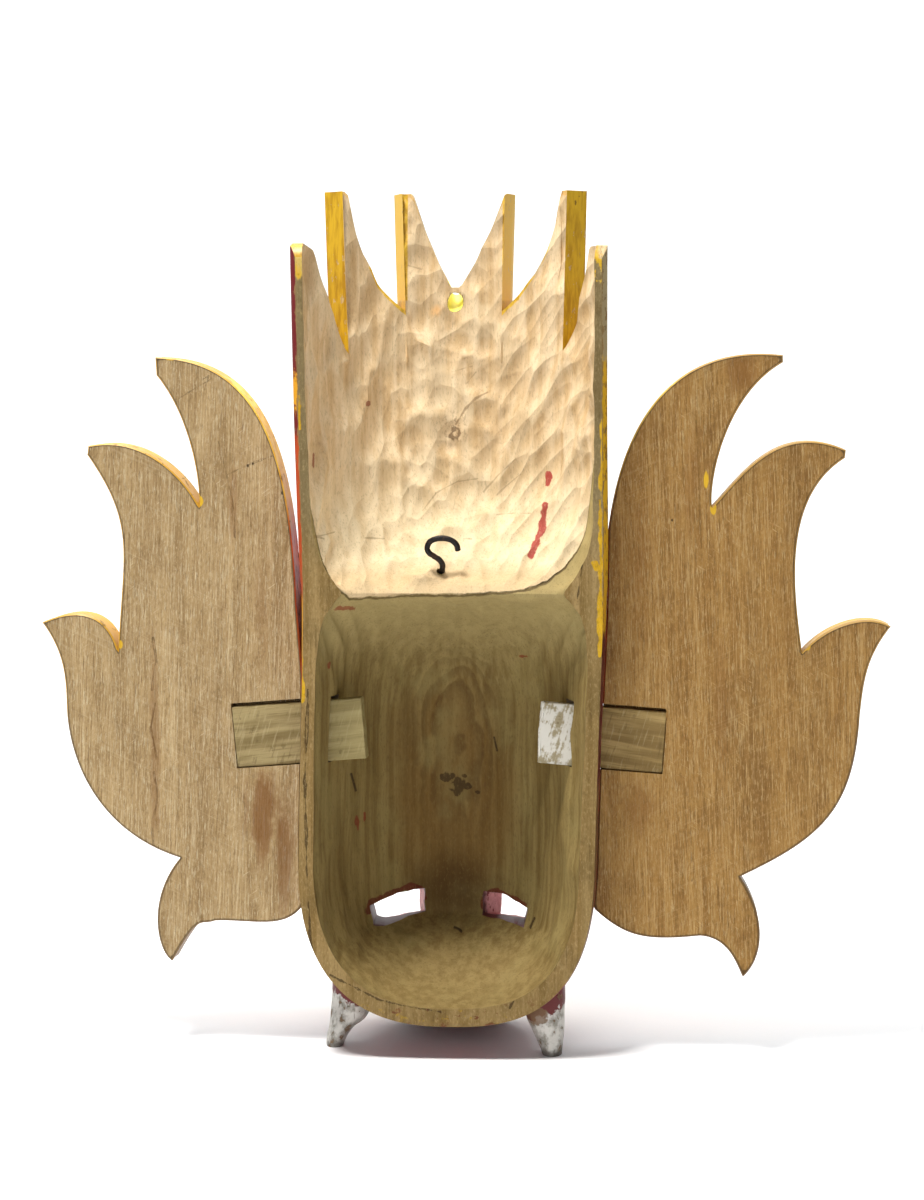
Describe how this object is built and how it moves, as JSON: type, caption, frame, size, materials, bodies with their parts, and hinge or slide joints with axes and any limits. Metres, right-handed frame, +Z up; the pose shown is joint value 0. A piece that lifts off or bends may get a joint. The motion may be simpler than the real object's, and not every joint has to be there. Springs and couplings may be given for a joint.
{
  "type": "raksha mask",
  "caption": "Carved wooden demon mask, hollowed behind, with a flame crown and a flame-shaped board tenoned to each side; it stands on its tusks and chin.",
  "frame": {"origin": "middle of the whole mask in plan, on the surface it stands on, below the chin", "axes": "+Z up, the face looks along -Y, the wearer's side is +Y, +X is the mask's own left"},
  "size_m": [0.4524, 0.124, 0.459],
  "materials": {
    "carved_wood": "bare gouge-cut wood inside, brown in the face hollow and pale in the crown, worn yellow, red and black gloss paint outside",
    "board_wood": "bare coarse-grained wood behind, painted flames in front",
    "tenon_wood": "bare sawn wood, one end smeared with white paint",
    "hook_iron": "blackened iron wire"
  },
  "bodies": {
    "root": {"carved_mask": "carved_wood", "left_flame_board": "board_wood", "right_flame_board": "board_wood", "left_tenon": "tenon_wood", "right_tenon": "tenon_wood", "hanging_hook": "hook_iron"}
  },
  "joints": []
}
